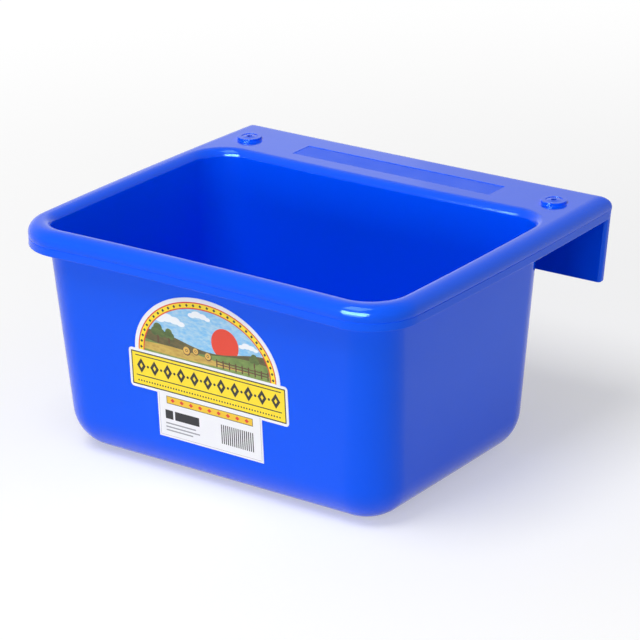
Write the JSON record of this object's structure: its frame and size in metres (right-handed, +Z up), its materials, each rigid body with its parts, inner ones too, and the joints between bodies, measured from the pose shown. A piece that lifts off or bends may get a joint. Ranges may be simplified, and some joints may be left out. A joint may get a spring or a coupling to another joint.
{
  "type": "livestock feeder",
  "caption": "Open rectangular plastic feed tub with a rolled rim and a back shelf whose hanging flange hooks over a fence rail.",
  "frame": {"origin": "on the base plane, below the middle of the whole feeder's width and depth", "axes": "+X along the width, to the right when the label is seen from the front; +Y from the front towards the hanging flange at the back; +Z up; X = 0 is the plane of symmetry"},
  "size_m": [0.2926, 0.2566, 0.1556],
  "materials": {
    "blue_plastic": "glossy injection-moulded plastic",
    "printed_label": "satin printed film label"
  },
  "bodies": {
    "root": {"feeder_moulding": "blue_plastic", "product_label": "printed_label"}
  },
  "joints": []
}
